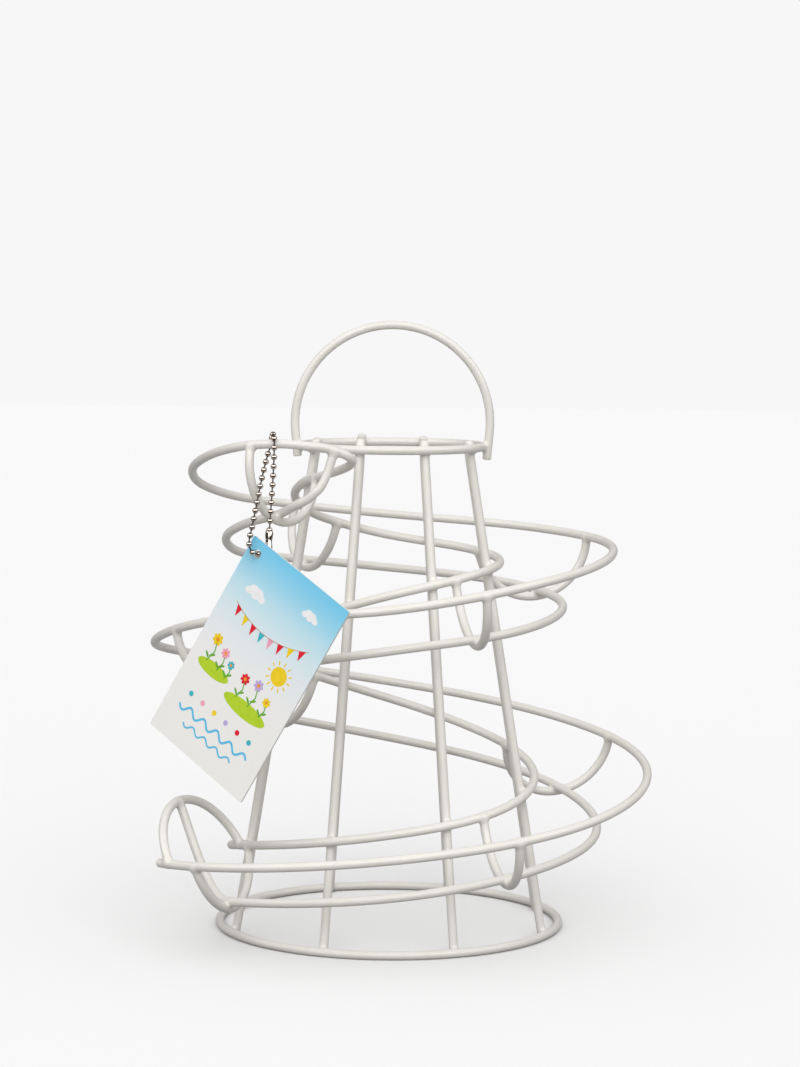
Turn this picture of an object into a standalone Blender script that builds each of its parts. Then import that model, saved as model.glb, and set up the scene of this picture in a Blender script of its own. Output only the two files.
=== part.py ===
"""Rolling egg dispenser: an open conical tower of round wire with a spiral egg track round it.

Metres, +Z up. The origin is the middle of the footprint box, on the table. The front is -Y.
Angles are in degrees from the front about the tower's axis, and run down along the track.
"""
import math

import bmesh
import bpy
from mathutils import Matrix, Vector

# Wire and clearances
WIRE_DIAMETER = 0.0037
SEAT_GAP = 0.0003
WIRE_SIDES = 8

# Tower
BASE_RING_DIAMETER = 0.150
TOP_RING_DIAMETER = 0.080
TOP_RING_HEIGHT = 0.207
UPRIGHT_COUNT = 8
UPRIGHT_FOOT_HEIGHT = 0.0009
UPRIGHT_STUB = 0.0043
# The uprights were cut to slightly different lengths: height of each stub above the top ring's middle
STUB_SHARES = (0.90, 0.72, 0.38, 0.60, 0.80, 0.62, 0.72, 1.00)
TOWER_TURN = 0.0
RING_STEPS = 48

# Carry handle, welded to the outside of the top ring
HANDLE_CENTRE_RISE = 0.010
HANDLE_LEG_DROP = 0.0046
HANDLE_STEPS = 24

# Track: distance between the rails, and how far the bottom rail lies below them
TRACK_WIDTH = 0.0485
TRACK_DROP = 0.0215
RAIL_STEP_DEGREES = 7.5
START_STEP_DEGREES = 2.5
START_FINE_ANGLE = -61.0

# One row for each station of the track. The angle is followed by the inner rail's height as a share
# of the top ring's height, the outer rail's lift and its distance from the inner rail as shares of
# the track's width, the bottom rail's place across the track as a share of that distance, and the
# bottom rail's depth below the line between the rails as a share of the track's drop.
STATION_SHARES = (
    (-21.0, 0.967, 0.157, 0.530, 1.00, -0.07),
    (-23.0, 0.966, 0.181, 0.570, 1.00, 0.43),
    (-25.0, 0.964, 0.201, 0.610, 1.00, 0.755),
    (-27.0, 0.962, 0.216, 0.650, 0.975, 0.88),
    (-29.0, 0.961, 0.228, 0.690, 0.93, 0.98),
    (-34.0, 0.959, 0.251, 0.785, 0.82, 1.08),
    (-40.0, 0.957, 0.254, 0.855, 0.70, 1.14),
    (-47.0, 0.952, 0.255, 0.890, 0.64, 1.17),
    (-60.0, 0.937, 0.245, 0.907, 0.65, 1.18),
    (-75.0, 0.918, 0.212, 0.912, 0.67, 1.20),
    (-90.0, 0.900, 0.178, 0.905, 0.67, 1.22),
    (-112.0, 0.871, 0.133, 0.928, 0.64, 1.20),
    (-135.0, 0.841, 0.112, 0.950, 0.62, 1.07),
    (-180.0, 0.797, 0.122, 0.990, 0.58, 0.95),
    (-225.0, 0.776, 0.130, 1.000, 0.56, 0.95),
    (-270.0, 0.763, 0.120, 1.000, 0.56, 1.02),
    (-315.0, 0.746, 0.045, 1.000, 0.56, 1.03),
    (-360.0, 0.713, -0.025, 1.000, 0.56, 0.90),
    (-405.0, 0.655, 0.070, 1.000, 0.56, 0.97),
    (-450.0, 0.577, 0.040, 1.000, 0.56, 1.02),
    (-495.0, 0.506, 0.025, 1.000, 0.56, 1.05),
    (-540.0, 0.435, 0.030, 1.000, 0.56, 1.05),
    (-585.0, 0.370, 0.060, 1.000, 0.56, 1.02),
    (-630.0, 0.319, 0.060, 1.000, 0.56, 1.06),
    (-675.0, 0.275, 0.015, 1.000, 0.56, 0.93),
    (-720.0, 0.242, -0.030, 1.000, 0.56, 0.93),
    (-765.0, 0.205, -0.055, 1.000, 0.54, 0.88),
    (-790.0, 0.183, -0.040, 1.000, 0.54, 0.88),
)

# Upper end of the track: the inner rail leaves the tower and hooks round to the outer rail
START_ANGLE = -21.0
LEAD_ANGLE = -64.0
LEAD_REACH = 0.0271
LEAD_DROP = 0.0040
HOOK_REACH = 0.0138
HOOK_ASIDE = 0.0023
HOOK_DIP = 0.0007
LEAD_STEPS = 14

# Lower end of the track
OUTER_END_ANGLE = -776.0
TOUCH_END_ANGLE = -785.0
END_RUN = 0.0168
BOTTOM_START_ANGLE = -22.0
BOTTOM_END_ANGLE = -766.0
BOTTOM_RISE_REACH = 0.013
BOTTOM_TOP_REACH = 0.007
RISE_STEPS = 10
SEAT_ROUNDS = 4

# Cradles under the rails: angles of the inner end, of the bottom rail's crossing and of the outer end
CRADLE_ANGLES = (
    (-52.0, -43.5, -44.4),
    (-147.0, -146.5, -151.0),
    (-236.0, -241.0, -245.5),
    (-325.5, -331.5, -336.5),
    (-415.0, -419.0, -423.0),
    (-503.0, -502.0, -508.0),
    (-598.0, -597.0, -603.5),
    (-682.5, -688.0, -692.5),
    (-783.5, -766.0, -763.5),
)
CRADLE_STEPS = 12

# End-stop arch over the track's lower end
ARCH_INNER_ANGLE = -790.0
ARCH_OUTER_ANGLE = -771.5
ARCH_RISE = 0.0250
ARCH_LEAN_DEGREES = 29.0
ARCH_STEPS = 13
ARCH_MEETING_SHARE = 0.4615

# Hang tag of card
TAG_WIDTH = 0.056
TAG_HEIGHT = 0.092
TAG_THICKNESS = 0.0008
TAG_HOLE_DIAMETER = 0.0036
TAG_HOLE_INSET = 0.0055
TAG_HOLE_SIDES = 16
TAG_HEADING = -33.3
TAG_LEAN = 6.6
TAG_SPIN = 30.0
TAG_ASIDE = 0.0021
TAG_RISE = 0.0330
TAG_REST_ANGLE = -393.3

# Ball chain over the outer rail, and its clasp
BEAD_DIAMETER = 0.0024
BEAD_PITCH = 0.0039
LINK_DIAMETER = 0.0009
BEAD_SHOULDER_SHARES = (0.62, 0.78)
CHAIN_ANGLE = -38.0
CHAIN_HEADING = 20.0
CLASP_DIAMETER = 0.0032
CLASP_LENGTH = 0.0085
CLASP_ASIDE = 0.0035
CLASP_RISE = 0.0012
CLASP_BACK = 0.0030
STRAND_ASIDE = 0.0019
STRAND_RISE = 0.0065
STRAND_FRONT = 0.0030
CHAIN_SLACK = 0.0004

WIRE_COLOUR = (0.72, 0.69, 0.64, 1.0)
METAL_COLOUR = (0.62, 0.61, 0.60, 1.0)
TAG_COLOUR = (0.42, 0.68, 0.83, 1.0)


def clear_scene():
    for item in list(bpy.data.objects):
        bpy.data.objects.remove(item, do_unlink=True)


def make_material(name, colour, roughness, metallic):
    material = bpy.data.materials.new(name)
    material.use_nodes = True
    shader = material.node_tree.nodes["Principled BSDF"]
    shader.inputs["Base Color"].default_value = colour
    shader.inputs["Roughness"].default_value = roughness
    shader.inputs["Metallic"].default_value = metallic
    material.diffuse_color = colour
    return material


def polar(radius, angle, height):
    turn = math.radians(angle)
    return Vector((radius * math.sin(turn), -radius * math.cos(turn), height))


def station_value(angle, column):
    """Smooth value of one column of the station table at an angle."""
    rows = STATION_SHARES
    index = 0
    while index < len(rows) - 2 and angle < rows[index + 1][0]:
        index += 1
    first = rows[index]
    second = rows[index + 1]
    span = second[0] - first[0]
    share = (angle - first[0]) / span
    before = rows[index - 1] if index > 0 else first
    after = rows[index + 2] if index + 2 < len(rows) else second
    slope_first = (second[column] - before[column]) / (second[0] - before[0])
    slope_second = (after[column] - first[column]) / (after[0] - first[0])
    square = share * share
    cube = square * share
    value = (2 * cube - 3 * square + 1) * first[column]
    value += (cube - 2 * square + share) * span * slope_first
    value += (3 * square - 2 * cube) * second[column]
    value += (cube - square) * span * slope_second
    return value


WIRE_RADIUS = WIRE_DIAMETER / 2
FACET_RADIUS = WIRE_RADIUS * math.cos(math.pi / WIRE_SIDES)
BASE_RING_RADIUS = BASE_RING_DIAMETER / 2 - WIRE_RADIUS
TOP_RING_RADIUS = TOP_RING_DIAMETER / 2 - WIRE_RADIUS
BASE_RING_HEIGHT = FACET_RADIUS
SLOPE = math.atan2(BASE_RING_RADIUS - TOP_RING_RADIUS, TOP_RING_HEIGHT - BASE_RING_HEIGHT)
SEAT = (WIRE_DIAMETER + SEAT_GAP) / math.cos(SLOPE)


def tower_radius(height):
    """Distance of an upright's middle line from the axis at a height."""
    share = (height - BASE_RING_HEIGHT) / (TOP_RING_HEIGHT - BASE_RING_HEIGHT)
    return BASE_RING_RADIUS + (TOP_RING_RADIUS - BASE_RING_RADIUS) * share - SEAT


def inner_point(angle):
    height = station_value(angle, 1) * TOP_RING_HEIGHT
    return polar(tower_radius(height) + SEAT, angle, height)


def outer_point(angle):
    height = station_value(angle, 1) * TOP_RING_HEIGHT
    radius = tower_radius(height) + SEAT + station_value(angle, 3) * TRACK_WIDTH
    return polar(radius, angle, height + station_value(angle, 2) * TRACK_WIDTH)


def bottom_point(angle):
    height = station_value(angle, 1) * TOP_RING_HEIGHT
    across = station_value(angle, 4)
    radius = tower_radius(height) + SEAT + across * station_value(angle, 3) * TRACK_WIDTH
    height += across * station_value(angle, 2) * TRACK_WIDTH
    return polar(radius, angle, height - station_value(angle, 5) * TRACK_DROP)


def heading_at(function, angle):
    """Unit direction of a rail, down along the track."""
    return (function(angle - 0.5) - function(angle + 0.5)).normalized()


def bezier(first, second, third, fourth, steps):
    """Points of a cubic curve, without its first point."""
    points = []
    for index in range(1, steps + 1):
        share = index / steps
        rest = 1 - share
        point = first * rest ** 3 + second * (3 * rest * rest * share)
        points.append(point + third * (3 * rest * share * share) + fourth * share ** 3)
    return points


def spaced(function, first, last, step=RAIL_STEP_DEGREES):
    """Points of a rail from one angle to another, both ends included."""
    count = max(1, round(abs(last - first) / step))
    return [function(first + (last - first) * index / count) for index in range(count + 1)]


def rail_points(function, first, last):
    """Points of a rail, closer together where it bends at its upper end."""
    fine = spaced(function, first, START_FINE_ANGLE, START_STEP_DEGREES)
    return fine + spaced(function, START_FINE_ANGLE, last)[1:]


def outer_path():
    return rail_points(outer_point, START_ANGLE, OUTER_END_ANGLE)


def on_outer(angle):
    """Middle and direction of the outer rail at an angle."""
    return at_angle(outer_path(), START_ANGLE, angle)


def inner_path():
    outer = outer_path()
    back = (outer[1] - outer[0]).normalized()
    weld = outer[0] - back * SEAT_GAP
    straight = weld - back * WIRE_RADIUS
    touch = inner_point(LEAD_ANGLE)
    away = -heading_at(inner_point, LEAD_ANGLE)
    reach = touch + away * LEAD_REACH - Vector((0, 0, LEAD_DROP))
    aside = Vector((0, 0, 1)).cross(back).normalized()
    hook = straight - back * HOOK_REACH + aside * HOOK_ASIDE - Vector((0, 0, HOOK_DIP))
    lead = bezier(straight, hook, reach, touch, LEAD_STEPS)
    path = [weld, straight] + lead + spaced(inner_point, LEAD_ANGLE, TOUCH_END_ANGLE)[1:]
    path.append(path[-1] + heading_at(inner_point, TOUCH_END_ANGLE) * END_RUN)
    return path


def angle_of(point, near):
    """Angle of a point about the axis, unwrapped to lie near another angle."""
    angle = math.degrees(math.atan2(point.x, -point.y))
    return angle + 360 * round((near - angle) / 360)


def at_angle(path, start, angle):
    """Point and direction where a path, followed down from its start, reaches an angle."""
    previous = angle_of(path[0], start)
    for index in range(1, len(path)):
        here = angle_of(path[index], previous)
        if here <= angle <= previous or (index == len(path) - 1 and angle < here):
            share = (previous - angle) / (previous - here)
            step = path[index] - path[index - 1]
            return path[index - 1] + step * share, step.normalized()
        previous = here
    return path[-1], (path[-1] - path[-2]).normalized()


def seated_arc(first, first_way, middle, last, last_way, steps):
    """Arc between two rails, its flat ends just clear of them, through a middle point."""
    seats = [WIRE_RADIUS + SEAT_GAP, WIRE_RADIUS + SEAT_GAP]
    leaves = [(middle - first).normalized(), (middle - last).normalized()]
    for index in range(SEAT_ROUNDS):
        points = circle_through(first + leaves[0] * seats[0], middle, last + leaves[1] * seats[1], steps)
        leaves = [(points[1] - points[0]).normalized(), (points[-2] - points[-1]).normalized()]
        # A rail that slopes against the flat end needs a little more room.
        seats = [WIRE_RADIUS * (1 + abs(leaves[0].dot(first_way))) + SEAT_GAP,
                 WIRE_RADIUS * (1 + abs(leaves[1].dot(last_way))) + SEAT_GAP]
    return circle_through(first + leaves[0] * seats[0], middle, last + leaves[1] * seats[1], steps)


def arch_frame():
    """Middle, half width, side, lean and travel directions of the end-stop arch."""
    inner, inner_way = at_angle(inner_path(), START_ANGLE, ARCH_INNER_ANGLE)
    outer, outer_way = on_outer(ARCH_OUTER_ANGLE)
    middle = (inner + outer) / 2
    side = (inner - outer).normalized()
    travel = Vector((0, 0, 1)).cross(side).normalized()
    if travel.dot(heading_at(outer_point, ARCH_OUTER_ANGLE)) < 0:
        travel = -travel
    upright = side.cross(travel).normalized()
    if upright.z < 0:
        upright = -upright
    lean = math.radians(ARCH_LEAN_DEGREES)
    rise = upright * math.cos(lean) + travel * math.sin(lean)
    ahead = travel * math.cos(lean) - upright * math.sin(lean)
    return middle, (inner - outer).length / 2, side, rise, ahead


def arch_path():
    middle, half, side, rise, ahead = arch_frame()
    inner, inner_way = at_angle(inner_path(), START_ANGLE, ARCH_INNER_ANGLE)
    outer, outer_way = on_outer(ARCH_OUTER_ANGLE)
    return seated_arc(outer, outer_way, middle + rise * ARCH_RISE, inner, inner_way, ARCH_STEPS)


def bottom_path():
    path = rail_points(bottom_point, BOTTOM_START_ANGLE, BOTTOM_END_ANGLE)
    middle, half, side, rise, ahead = arch_frame()
    arch = arch_path()
    meeting = round(ARCH_STEPS * ARCH_MEETING_SHARE)
    along = (arch[meeting + 1] - arch[meeting - 1]).normalized()
    outward = along.cross(ahead).normalized()
    if outward.dot(rise) < 0:
        outward = -outward
    # The rail comes up aslant, so its flat end needs a little more room under the arch.
    slant = abs((arch[meeting] - path[-1]).normalized().dot(along)) / 2
    top = arch[meeting] - outward * (WIRE_RADIUS * (1 + slant) + SEAT_GAP)
    last = path[-1]
    way = heading_at(bottom_point, BOTTOM_END_ANGLE)
    path += bezier(last, last + way * BOTTOM_RISE_REACH, top - outward * BOTTOM_TOP_REACH, top, RISE_STEPS)
    return path


def circle_through(first, middle, last, steps):
    """Points of the arc through three points, both ends included."""
    side = (last - first).normalized()
    down = middle - first
    down = (down - side * down.dot(side)).normalized()
    along = (middle - first).dot(side)
    depth = (middle - first).dot(down)
    half = (last - first).length / 2
    centre_depth = (along * along + depth * depth - 2 * half * along) / (2 * depth)
    centre = first + side * half + down * centre_depth
    radius = math.hypot(half, centre_depth)
    start = math.atan2(-centre_depth, -half)
    finish = math.atan2(-centre_depth, half)
    if start < 0:
        start += 2 * math.pi
    if finish > start:
        finish -= 2 * math.pi
    points = []
    for index in range(steps + 1):
        turn = start + (finish - start) * index / steps
        points.append(centre + side * (radius * math.cos(turn)) + down * (radius * math.sin(turn)))
    return points


def cradle_path(inner_angle, low_angle, outer_angle):
    """Arc from under the inner rail, below the bottom rail, to under the outer rail."""
    inner, inner_way = at_angle(inner_path(), START_ANGLE, inner_angle)
    outer, outer_way = on_outer(outer_angle)
    low, low_way = at_angle(bottom_path(), START_ANGLE, low_angle)
    under = Vector((0, 0, WIRE_DIAMETER + SEAT_GAP))
    return seated_arc(inner, inner_way, low - under, outer, outer_way, CRADLE_STEPS)


def upright_ends(index):
    angle = TOWER_TURN + 360 / UPRIGHT_COUNT * (index + 0.5)
    foot = polar(tower_radius(UPRIGHT_FOOT_HEIGHT), angle, UPRIGHT_FOOT_HEIGHT)
    stub = TOP_RING_HEIGHT + UPRIGHT_STUB * STUB_SHARES[index]
    return foot, polar(tower_radius(stub), angle, stub)


def handle_path():
    radius = TOP_RING_DIAMETER / 2 + SEAT_GAP + WIRE_RADIUS
    side = polar(1, 90 + TOWER_TURN, 0)
    centre = Vector((0, 0, TOP_RING_HEIGHT + HANDLE_CENTRE_RISE))
    leg = Vector((0, 0, HANDLE_CENTRE_RISE + HANDLE_LEG_DROP))
    path = [centre - side * radius - leg]
    for index in range(HANDLE_STEPS + 1):
        turn = math.pi * index / HANDLE_STEPS
        path.append(centre - side * (radius * math.cos(turn)) + Vector((0, 0, radius * math.sin(turn))))
    path.append(centre + side * radius - leg)
    return path


def tag_frame():
    """Hole centre, outward normal, and the directions along the tag's width and height."""
    outward = polar(1, TAG_HEADING, 0)
    across = polar(1, TAG_HEADING + 90, 0)
    lean = math.radians(TAG_LEAN)
    normal = outward * math.cos(lean) + Vector((0, 0, math.sin(lean)))
    upward = Vector((0, 0, math.cos(lean))) - outward * math.sin(lean)
    spin = math.radians(TAG_SPIN)
    wide = across * math.cos(spin) - upward * math.sin(spin)
    high = across * math.sin(spin) + upward * math.cos(spin)
    rest = outer_point(TAG_REST_ANGLE) + normal * (WIRE_RADIUS + SEAT_GAP + TAG_THICKNESS / 2)
    corner = rest - across * TAG_ASIDE + upward * TAG_RISE
    hole = corner + wide * TAG_HOLE_INSET - high * TAG_HOLE_INSET
    return hole, normal, wide, high


def chain_frame():
    """Middle of the rail under the chain, the loop's outward direction and the rail's direction."""
    rail, way = on_outer(CHAIN_ANGLE)
    return rail, polar(1, CHAIN_HEADING, 0), way


CHAIN_LOOP = WIRE_RADIUS + SEAT_GAP + BEAD_DIAMETER / 2 + CHAIN_SLACK


def chain_half_width():
    """Half of the loop's width over the rail, which it crosses aslant."""
    rail, outward, way = chain_frame()
    flat = Vector((way.x, way.y, 0)).normalized()
    return CHAIN_LOOP / abs(outward.cross(flat).z)


def clasp_ends():
    """Lower and upper end of the clasp, which hangs behind the tag's upper edge."""
    hole, normal, wide, high = tag_frame()
    rail, outward, way = chain_frame()
    aside = polar(1, TAG_HEADING + 90, 0)
    low = hole + aside * CLASP_ASIDE + Vector((0, 0, CLASP_RISE)) - normal * CLASP_BACK
    toward = (rail + outward * chain_half_width() - low).normalized()
    return low, low + toward * CLASP_LENGTH


def chain_route():
    """Close points along the chain, from the clasp's lower end to its upper end."""
    hole, normal, wide, high = tag_frame()
    rail, outward, way = chain_frame()
    low, top = clasp_ends()
    # The loop crosses the rail aslant, so it is wider than it is high.
    wide_loop = chain_half_width()
    aside = polar(1, TAG_HEADING + 90, 0)
    front = hole - aside * STRAND_ASIDE + Vector((0, 0, STRAND_RISE)) + normal * STRAND_FRONT
    rear_rail = rail - outward * wide_loop
    front_rail = rail + outward * wide_loop
    hang = (top - low).normalized()
    behind = hole - normal * (BEAD_DIAMETER / 2 + TAG_THICKNESS)
    ahead = hole + normal * (BEAD_DIAMETER / 2 + TAG_THICKNESS)
    points = [low - hang * SEAT_GAP]
    points += bezier(points[0], points[0] - hang * BEAD_PITCH, behind - normal * BEAD_DIAMETER, behind, 20)
    points += [ahead]
    rise = (rear_rail - front).normalized()
    points += bezier(ahead, ahead + normal * BEAD_DIAMETER, front - rise * BEAD_PITCH, front, 20)
    down = Vector((0, 0, 1))
    under_rail = rear_rail - down * (3 * BEAD_PITCH)
    points += bezier(front, front + rise * (4 * BEAD_PITCH), under_rail, rear_rail, 60)
    for index in range(1, 25):
        turn = math.pi * index / 24
        points.append(rail - outward * (wide_loop * math.cos(turn)) + down * (CHAIN_LOOP * math.sin(turn)))
    over_clasp = top + hang * (3 * BEAD_PITCH)
    points += bezier(front_rail, front_rail - down * (3 * BEAD_PITCH), over_clasp, top + hang * SEAT_GAP, 60)
    return points


def chain_outline():
    """Middle points and radii of the chain's beads and links."""
    route = chain_route()
    lengths = [0.0]
    for index in range(1, len(route)):
        lengths.append(lengths[-1] + (route[index] - route[index - 1]).length)
    total = lengths[-1]
    count = max(2, round(total / BEAD_PITCH))
    pitch = total / count
    bead = BEAD_DIAMETER / 2
    link = LINK_DIAMETER / 2
    edge = math.sqrt(bead * bead - link * link)
    shoulder = BEAD_SHOULDER_SHARES
    places = [(0.0, link)]
    for index in range(count):
        middle = pitch * (index + 0.5)
        places += [(middle - edge, link), (middle - shoulder[0] * bead, shoulder[1] * bead), (middle, bead)]
        places += [(middle + shoulder[0] * bead, shoulder[1] * bead), (middle + edge, link)]
    places.append((total, link))
    outline = []
    for place, radius in places:
        index = 1
        while index < len(lengths) - 1 and lengths[index] < place:
            index += 1
        share = (place - lengths[index - 1]) / (lengths[index] - lengths[index - 1])
        outline.append((route[index - 1].lerp(route[index], share), radius))
    return outline


def wire(name, points, material, origin=Vector((0, 0, 0)), radii=None):
    """A round wire along points, with flat ends and its object origin at a given place."""
    curve = bpy.data.curves.new(name, "CURVE")
    curve.dimensions = "3D"
    curve.bevel_depth = 1.0 if radii else WIRE_RADIUS
    curve.bevel_resolution = WIRE_SIDES // 2 - 2
    curve.use_fill_caps = True
    spline = curve.splines.new("POLY")
    spline.points.add(len(points) - 1)
    for index, point in enumerate(points):
        spline.points[index].co = (*(point - origin), 1.0)
        if radii:
            spline.points[index].radius = radii[index]
    item = bpy.data.objects.new(name, curve)
    item.location = origin
    bpy.context.scene.collection.objects.link(item)
    curve.materials.append(material)
    return item


def ring(name, radius, height, material):
    """A closed ring of faceted wire with a flat facet underneath."""
    mesh = bpy.data.meshes.new(name)
    work = bmesh.new()
    corners = []
    for index in range(WIRE_SIDES):
        turn = 2 * math.pi * (index + 0.5) / WIRE_SIDES
        place = (radius + WIRE_RADIUS * math.cos(turn), 0, WIRE_RADIUS * math.sin(turn))
        corners.append(work.verts.new(place))
    pairs = [(corners[index], corners[(index + 1) % WIRE_SIDES]) for index in range(WIRE_SIDES)]
    edges = [work.edges.new(pair) for pair in pairs]
    bmesh.ops.spin(work, geom=corners + edges, cent=(0, 0, 0), axis=(0, 0, 1), angle=2 * math.pi,
                   steps=RING_STEPS, use_merge=True, use_duplicate=False)
    bmesh.ops.recalc_face_normals(work, faces=work.faces)
    work.to_mesh(mesh)
    work.free()
    mesh.shade_smooth()
    item = bpy.data.objects.new(name, mesh)
    item.location = (0, 0, height)
    bpy.context.scene.collection.objects.link(item)
    mesh.materials.append(material)
    return item


def make_tag(material):
    """A card with a round hole, its object origin in the middle of the hole."""
    hole, normal, wide, high = tag_frame()
    mesh = bpy.data.meshes.new("hang_tag")
    work = bmesh.new()
    left = -TAG_HOLE_INSET
    right = TAG_WIDTH - TAG_HOLE_INSET
    top = TAG_HOLE_INSET
    bottom = TAG_HOLE_INSET - TAG_HEIGHT
    back = -TAG_THICKNESS / 2
    outline = []
    rim = []
    reach = TAG_HOLE_INSET
    quarter = TAG_HOLE_SIDES // 4
    for index in range(TAG_HOLE_SIDES):
        turn = 2 * math.pi * (index + 0.5) / TAG_HOLE_SIDES
        x = math.cos(turn)
        y = math.sin(turn)
        rim.append(work.verts.new((x * TAG_HOLE_DIAMETER / 2, y * TAG_HOLE_DIAMETER / 2, back)))
        stretch = reach / max(abs(x), abs(y))
        outline.append((x * stretch, y * stretch))
    corners = [(right, top), (left, top), (left, bottom), (right, bottom)]
    points = []
    for index in range(TAG_HOLE_SIDES):
        x, y = outline[index]
        if x > 0 and abs(x) >= abs(y):
            x = right
        if y < 0 and abs(y) >= abs(outline[index][0]):
            y = bottom
        points.append((x, y))
    edge = []
    for index in range(TAG_HOLE_SIDES):
        edge.append(points[index])
        if index % quarter == quarter // 2 - 1:
            edge.append(corners[index // quarter])
    verts = [work.verts.new((x, y, back)) for x, y in edge]
    border = [work.edges.new((verts[index], verts[(index + 1) % len(verts)])) for index in range(len(verts))]
    inside = [work.edges.new((rim[index], rim[(index + 1) % len(rim)])) for index in range(len(rim))]
    faces = bmesh.ops.triangle_fill(work, use_beauty=True, use_dissolve=False, edges=border + inside)["geom"]
    faces = [item for item in faces if isinstance(item, bmesh.types.BMFace)]
    raised = bmesh.ops.extrude_face_region(work, geom=faces)["geom"]
    moved = [item for item in raised if isinstance(item, bmesh.types.BMVert)]
    bmesh.ops.translate(work, verts=moved, vec=(0, 0, TAG_THICKNESS))
    bmesh.ops.recalc_face_normals(work, faces=work.faces)
    work.to_mesh(mesh)
    work.free()
    item = bpy.data.objects.new("hang_tag", mesh)
    turn = Matrix((wide, high, normal)).transposed().to_4x4()
    item.matrix_world = Matrix.Translation(hole) @ turn
    bpy.context.scene.collection.objects.link(item)
    mesh.materials.append(material)
    return item


def centre_footprint():
    """Move everything so that the origin is the middle of the footprint box."""
    bpy.context.view_layer.update()
    graph = bpy.context.evaluated_depsgraph_get()
    low = Vector((math.inf, math.inf, 0))
    high = Vector((-math.inf, -math.inf, 0))
    for item in bpy.context.scene.objects:
        solid = item.evaluated_get(graph)
        mesh = solid.to_mesh()
        for vertex in mesh.vertices:
            place = solid.matrix_world @ vertex.co
            low = Vector((min(low.x, place.x), min(low.y, place.y), 0))
            high = Vector((max(high.x, place.x), max(high.y, place.y), 0))
        solid.to_mesh_clear()
    for item in bpy.context.scene.objects:
        item.location -= (low + high) / 2
    bpy.context.view_layer.update()


def main():
    clear_scene()
    powder = make_material("powder_coat", WIRE_COLOUR, 0.45, 0.0)
    metal = make_material("nickel", METAL_COLOUR, 0.2, 1.0)
    card = make_material("card", TAG_COLOUR, 0.4, 0.0)
    paths = {
        "outer_rail": outer_path(),
        "inner_rail": inner_path(),
        "bottom_rail": bottom_path(),
        "carry_handle": handle_path(),
        "end_stop_arch": arch_path(),
    }
    for index, angles in enumerate(CRADLE_ANGLES):
        paths["cradle_" + str(index + 1)] = cradle_path(*angles)
    for index in range(UPRIGHT_COUNT):
        paths["upright_" + str(index + 1)] = list(upright_ends(index))
    for name, points in paths.items():
        wire(name, points, powder.copy())
    ring("base_ring", BASE_RING_RADIUS, BASE_RING_HEIGHT, powder.copy())
    ring("top_ring", TOP_RING_RADIUS, TOP_RING_HEIGHT, powder.copy())
    # The chain and its clasp turn about the middle of the rail that the loop hangs over.
    hinge, way, along = chain_frame()
    outline = chain_outline()
    points = [point for point, radius in outline]
    wire("ball_chain", points, metal, hinge, [radius for point, radius in outline])
    clasp = list(clasp_ends())
    wire("chain_clasp", clasp, metal.copy(), hinge, [CLASP_DIAMETER / 2, CLASP_DIAMETER / 2])
    make_tag(card)
    centre_footprint()


main()
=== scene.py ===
"""Looks of the rolling egg dispenser: a welded rack of cream wire, a ball chain and a card tag.

Metres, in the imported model's frame. The tower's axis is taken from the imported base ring.
"""
import math

import bmesh
import bpy
import numpy as np
from mathutils import Matrix, Vector


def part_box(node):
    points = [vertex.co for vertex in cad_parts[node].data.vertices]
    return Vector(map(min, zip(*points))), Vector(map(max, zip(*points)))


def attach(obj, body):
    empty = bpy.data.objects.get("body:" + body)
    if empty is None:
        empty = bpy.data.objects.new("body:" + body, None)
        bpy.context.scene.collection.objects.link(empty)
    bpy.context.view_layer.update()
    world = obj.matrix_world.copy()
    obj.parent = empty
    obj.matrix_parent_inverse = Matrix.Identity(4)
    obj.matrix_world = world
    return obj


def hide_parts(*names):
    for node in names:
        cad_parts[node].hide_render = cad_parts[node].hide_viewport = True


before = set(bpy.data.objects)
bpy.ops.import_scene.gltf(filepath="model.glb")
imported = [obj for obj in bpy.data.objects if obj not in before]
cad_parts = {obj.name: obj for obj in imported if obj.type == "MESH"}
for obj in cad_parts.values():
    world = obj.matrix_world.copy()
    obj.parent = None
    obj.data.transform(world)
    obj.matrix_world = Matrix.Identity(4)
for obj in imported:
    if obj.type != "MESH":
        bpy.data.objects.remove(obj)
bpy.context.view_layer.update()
ring_low, ring_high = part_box("base_ring")
AXIS = Vector(((ring_low.x + ring_high.x) / 2, (ring_low.y + ring_high.y) / 2, 0))

# Rack, as in the solids. Welded wires sink into each other by WELD_SINK.
WIRE_DIAMETER = 0.0037
WIRE_RADIUS = WIRE_DIAMETER / 2
SEAT_GAP = 0.0003
WELD_SINK = 0.0008
SOLID_SIDES = 8
WIRE_SIDES = 20
WIRE_STEP = 0.0014
UPRIGHT_STEP = 0.012
END_ROUND = 0.0007
END_STEPS = 6
ARC_STEPS = 60
RISE_STEPS = 40
RING_STEPS = 240
HANDLE_STEPS = 104

BASE_RING_DIAMETER = 0.150
TOP_RING_DIAMETER = 0.080
TOP_RING_HEIGHT = 0.207
UPRIGHT_COUNT = 8
UPRIGHT_FOOT_HEIGHT = 0.0009
UPRIGHT_STUB = 0.0043
STUB_SHARES = (0.90, 0.72, 0.38, 0.60, 0.80, 0.62, 0.72, 1.00)
HANDLE_CENTRE_RISE = 0.010
HANDLE_LEG_DROPS = (0.0046, 0.0056)
HANDLE_RADIUS = 0.04175
HANDLE_TURN_IN = 5.5
TRACK_WIDTH = 0.0485
TRACK_DROP = 0.0215

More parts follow.
